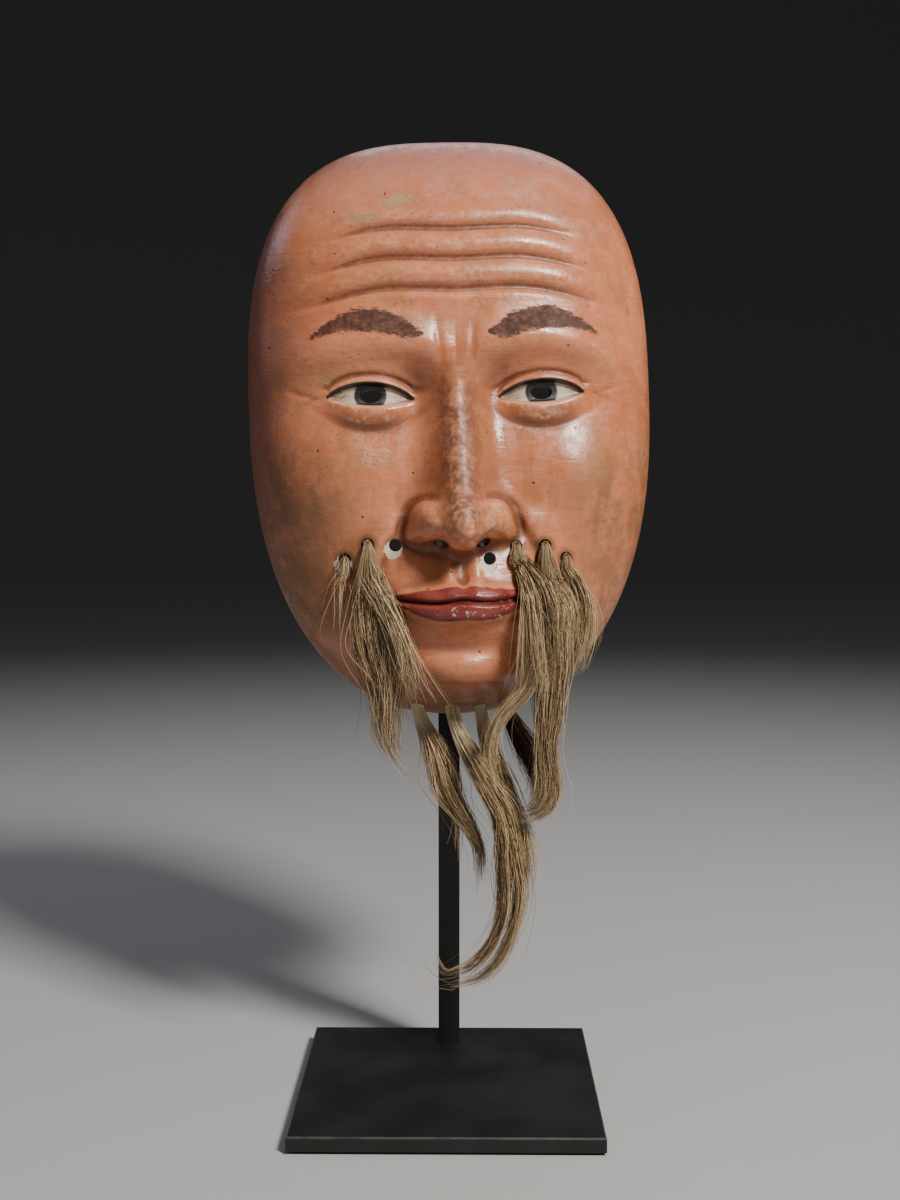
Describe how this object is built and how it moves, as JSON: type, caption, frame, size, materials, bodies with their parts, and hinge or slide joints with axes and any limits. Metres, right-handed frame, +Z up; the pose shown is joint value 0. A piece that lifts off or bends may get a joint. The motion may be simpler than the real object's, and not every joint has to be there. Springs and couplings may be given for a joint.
{
  "type": "noh mask",
  "caption": "Carved and lacquered wooden mask of an old man with planted hair, hung on a steel post stand with a square base.",
  "frame": {"origin": "centre of the base's underside", "axes": "+Z up, the mask looks towards -Y, +X is the viewer's right"},
  "size_m": [0.1484, 0.105, 0.3441],
  "materials": {
    "lacquered_wood": "gloss",
    "peg_wood": "matte",
    "fair_hair": "matte",
    "dark_hair": "matte",
    "black_steel": "satin",
    "screw_steel": "brushed",
    "felt": "matte"
  },
  "bodies": {
    "stand": {"base_plate": "black_steel", "base_felt": "felt", "post": "black_steel", "foot_screw": "screw_steel", "arm": "black_steel", "arm_screws": "screw_steel", "cross_bar": "black_steel", "cross_pads": "felt", "cross_screw": "screw_steel", "chin_bumper": "felt"},
    "mask": {"mask_shell": "lacquered_wood", "moustache_left": "fair_hair", "moustache_left_stray": "fair_hair", "moustache_right_inner": "fair_hair", "moustache_right_middle": "fair_hair", "moustache_right_outer": "fair_hair", "beard_outer_left": "fair_hair", "beard_inner_left": "fair_hair", "beard_inner_right": "fair_hair", "beard_outer_right": "dark_hair", "moustache_pegs": "peg_wood", "beard_pegs": "peg_wood"}
  },
  "joints": [
    {"name": "mask_lift", "type": "slide", "parent": "stand", "child": "mask", "axis": [0, -0.7071, 0.7071], "range_m": [0, 0.15]}
  ]
}
